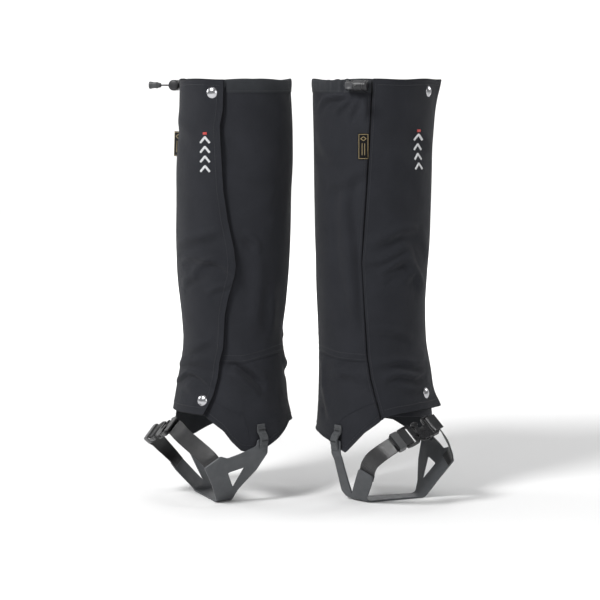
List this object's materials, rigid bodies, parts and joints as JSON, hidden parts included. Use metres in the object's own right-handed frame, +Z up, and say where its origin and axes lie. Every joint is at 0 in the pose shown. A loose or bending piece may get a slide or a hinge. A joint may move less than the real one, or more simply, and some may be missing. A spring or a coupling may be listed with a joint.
{
  "type": "gaiters",
  "caption": "Pair of knee-high hiking gaiters: front flap closed by snaps and hook tape, drawcord rim with cord lock, moulded foot strap and buckled instep strap.",
  "frame": {"origin": "centre of the pair's bounding box, on the floor that the foot straps stand on", "axes": "+Z up the legs; -Y toward the viewer in front of the pair; +X to the viewer's right; the left gaiter's toe points to -X -Y and the right one's to +X -Y"},
  "size_m": [0.3566, 0.1866, 0.4795],
  "materials": {
    "shell_fabric": "woven membrane laminate, matt",
    "flap_fabric": "woven membrane laminate, matt",
    "grey_strap": "moulded polyurethane, satin",
    "black_webbing": "coated webbing, semi-gloss",
    "black_plastic": "moulded acetal, semi-gloss",
    "snap_metal": "polished nickel plate",
    "spring_steel": "drawn wire",
    "closure_tape": "hook-and-loop tape",
    "drawcord_nylon": "braided elastic cord",
    "label_cloth": "woven label"
  },
  "bodies": {
    "gaiters": {"left_upper_shell": "shell_fabric", "left_lower_shell": "shell_fabric", "left_top_hem": "shell_fabric", "left_hook_tape": "closure_tape", "left_seam_label": "label_cloth", "left_drawcord": "drawcord_nylon", "left_cord_end": "black_plastic", "left_cord_lock_barrel": "black_plastic", "left_cord_lock_spring": "spring_steel", "left_foot_strap": "grey_strap", "left_tab_left": "grey_strap", "left_tab_right": "grey_strap", "left_instep_strap_fixed": "black_webbing", "left_instep_strap_adjust": "black_webbing", "left_buckle_socket": "black_plastic", "left_snap_stud_top": "snap_metal", "left_snap_eyelet_top": "snap_metal", "left_snap_stud_bottom": "snap_metal", "left_snap_eyelet_bottom": "snap_metal", "right_upper_shell": "shell_fabric", "right_lower_shell": "shell_fabric", "right_top_hem": "shell_fabric", "right_hook_tape": "closure_tape", "right_seam_label": "label_cloth", "right_drawcord": "drawcord_nylon", "right_cord_end": "black_plastic", "right_cord_lock_barrel": "black_plastic", "right_cord_lock_spring": "spring_steel", "right_foot_strap": "grey_strap", "right_tab_left": "grey_strap", "right_tab_right": "grey_strap", "right_instep_strap_fixed": "black_webbing", "right_instep_strap_adjust": "black_webbing", "right_buckle_socket": "black_plastic", "right_snap_stud_top": "snap_metal", "right_snap_eyelet_top": "snap_metal", "right_snap_stud_bottom": "snap_metal", "right_snap_eyelet_bottom": "snap_metal"},
    "left_flap": {"left_front_flap": "flap_fabric", "left_loop_tape": "closure_tape", "left_snap_cap_top": "snap_metal", "left_snap_socket_top": "snap_metal", "left_snap_cap_bottom": "snap_metal", "left_snap_socket_bottom": "snap_metal"},
    "left_lock_plunger": {"left_cord_lock_plunger": "black_plastic"},
    "left_buckle_plug": {"left_buckle_plug": "black_plastic", "left_strap_keeper": "black_webbing"},
    "left_release_arm_upper": {"left_release_arm_upper": "black_plastic"},
    "left_release_arm_lower": {"left_release_arm_lower": "black_plastic"},
    "right_flap": {"right_front_flap": "flap_fabric", "right_loop_tape": "closure_tape", "right_snap_cap_top": "snap_metal", "right_snap_socket_top": "snap_metal", "right_snap_cap_bottom": "snap_metal", "right_snap_socket_bottom": "snap_metal"},
    "right_lock_plunger": {"right_cord_lock_plunger": "black_plastic"},
    "right_buckle_plug": {"right_buckle_plug": "black_plastic", "right_strap_keeper": "black_webbing"},
    "right_release_arm_upper": {"right_release_arm_upper": "black_plastic"},
    "right_release_arm_lower": {"right_release_arm_lower": "black_plastic"}
  },
  "joints": [
    {"name": "left_flap_open", "type": "hinge", "parent": "gaiters", "child": "left_flap", "pos_m": [-0.14255, 0.02708, 0.3], "axis": [0, 0, -1], "range_deg": [0, 110]},
    {"name": "left_lock_press", "type": "slide", "parent": "gaiters", "child": "left_lock_plunger", "axis": [-0.2756, -0.9613, 0], "range_m": [0, 0.0035], "stiffness_N_per_m": 300, "springref_m": -0.002, "deforming": ["left_cord_lock_spring"]},
    {"name": "left_buckle_slide", "type": "slide", "parent": "gaiters", "child": "left_buckle_plug", "axis": [-0.4817, 0.815, -0.3221], "range_m": [0, 0.02], "deforming": ["left_instep_strap_adjust"]},
    {"name": "left_arm_upper_press", "type": "hinge", "parent": "left_buckle_plug", "child": "left_release_arm_upper", "pos_m": [-0.15159, -0.01764, 0.087], "axis": [0.7161, 0.1542, -0.6807], "range_deg": [0, 6], "stiffness_Nm_per_rad": 0.05},
    {"name": "left_arm_lower_press", "type": "hinge", "parent": "left_buckle_plug", "child": "left_release_arm_lower", "pos_m": [-0.16007, -0.02703, 0.07594], "axis": [-0.7161, -0.1542, 0.6807], "range_deg": [0, 6], "stiffness_Nm_per_rad": 0.05},
    {"name": "right_flap_open", "type": "hinge", "parent": "gaiters", "child": "right_flap", "pos_m": [0.081, -0.05699, 0.3], "axis": [0, 0, -1], "range_deg": [0, 110]},
    {"name": "right_lock_press", "type": "slide", "parent": "gaiters", "child": "right_lock_plunger", "axis": [0.9563, -0.2924, 0], "range_m": [0, 0.0035], "stiffness_N_per_m": 300, "springref_m": -0.002, "deforming": ["right_cord_lock_spring"]},
    {"name": "right_buckle_slide", "type": "slide", "parent": "gaiters", "child": "right_buckle_plug", "axis": [-0.8233, -0.4674, -0.3221], "range_m": [0, 0.02], "deforming": ["right_instep_strap_adjust"]},
    {"name": "right_arm_upper_press", "type": "hinge", "parent": "right_buckle_plug", "child": "right_release_arm_upper", "pos_m": [0.12556, -0.06681, 0.0915], "axis": [-0.1417, 0.7187, -0.6807], "range_deg": [0, 6], "stiffness_Nm_per_rad": 0.05},
    {"name": "right_arm_lower_press", "type": "hinge", "parent": "right_buckle_plug", "child": "right_release_arm_lower", "pos_m": [0.1348, -0.07546, 0.08044], "axis": [0.1417, -0.7187, 0.6807], "range_deg": [0, 6], "stiffness_Nm_per_rad": 0.05}
  ]
}
